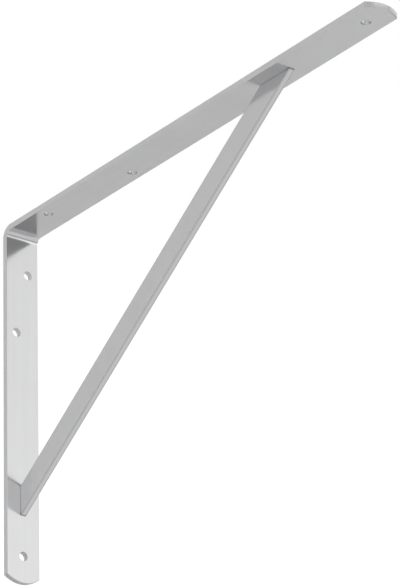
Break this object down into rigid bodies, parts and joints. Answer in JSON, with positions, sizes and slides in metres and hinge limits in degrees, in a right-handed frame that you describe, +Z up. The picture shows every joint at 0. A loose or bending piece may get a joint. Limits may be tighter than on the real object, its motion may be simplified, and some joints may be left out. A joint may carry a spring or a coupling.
{
  "type": "gallows shelf bracket",
  "caption": "L-shaped shelf bracket bent from flat steel bar, with rounded ends, staggered screw holes and a diagonal strut on edge that holds the shelf arm square to the wall.",
  "frame": {"origin": "on the back face of the upright, where it lies on the wall, on the centre line and level with the upper wall hole", "axes": "+X away from the wall along the shelf arm, +Z up towards the shelf, Y along the wall across the bar"},
  "size_m": [0.46, 0.03, 0.3],
  "materials": {
    "bar": "bright zinc plate, satin",
    "strut": "bright zinc plate, satin"
  },
  "bodies": {
    "root": {"bent_bar": "bar", "diagonal_strut": "strut"}
  },
  "joints": []
}
